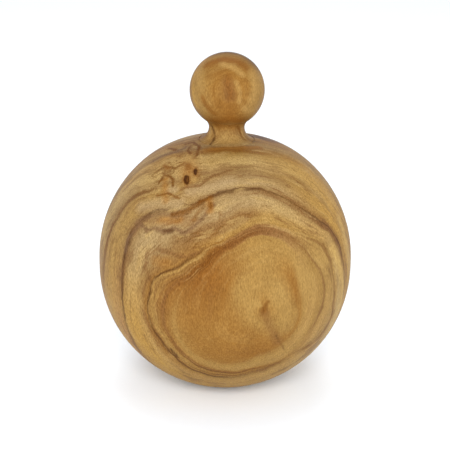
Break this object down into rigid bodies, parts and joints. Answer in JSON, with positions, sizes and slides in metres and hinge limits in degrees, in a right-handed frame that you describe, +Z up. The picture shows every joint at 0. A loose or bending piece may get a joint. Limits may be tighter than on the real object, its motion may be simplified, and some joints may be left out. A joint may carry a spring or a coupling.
{
  "type": "darning ball",
  "caption": "Turned olive-wood darning ball: a closed ball on a small flat foot, with a waisted neck and ball knob that pull out to open a needle well.",
  "frame": {"origin": "centre of the flat foot that the ball stands on", "axes": "+Z up the turning axis, towards the knob; X and Y are level and arbitrary, because the part is turned"},
  "size_m": [0.08, 0.08, 0.1071],
  "materials": {
    "ball_wood": "oiled olive wood, satin",
    "neck_wood": "oiled olive wood, satin",
    "knob_wood": "oiled olive wood, satin"
  },
  "bodies": {
    "ball": {"ball": "ball_wood"},
    "handle": {"neck": "neck_wood", "knob": "knob_wood"}
  },
  "joints": [
    {"name": "handle_pull", "type": "slide", "parent": "ball", "child": "handle", "axis": [0, 0, 1], "range_m": [0, 0.03]}
  ]
}
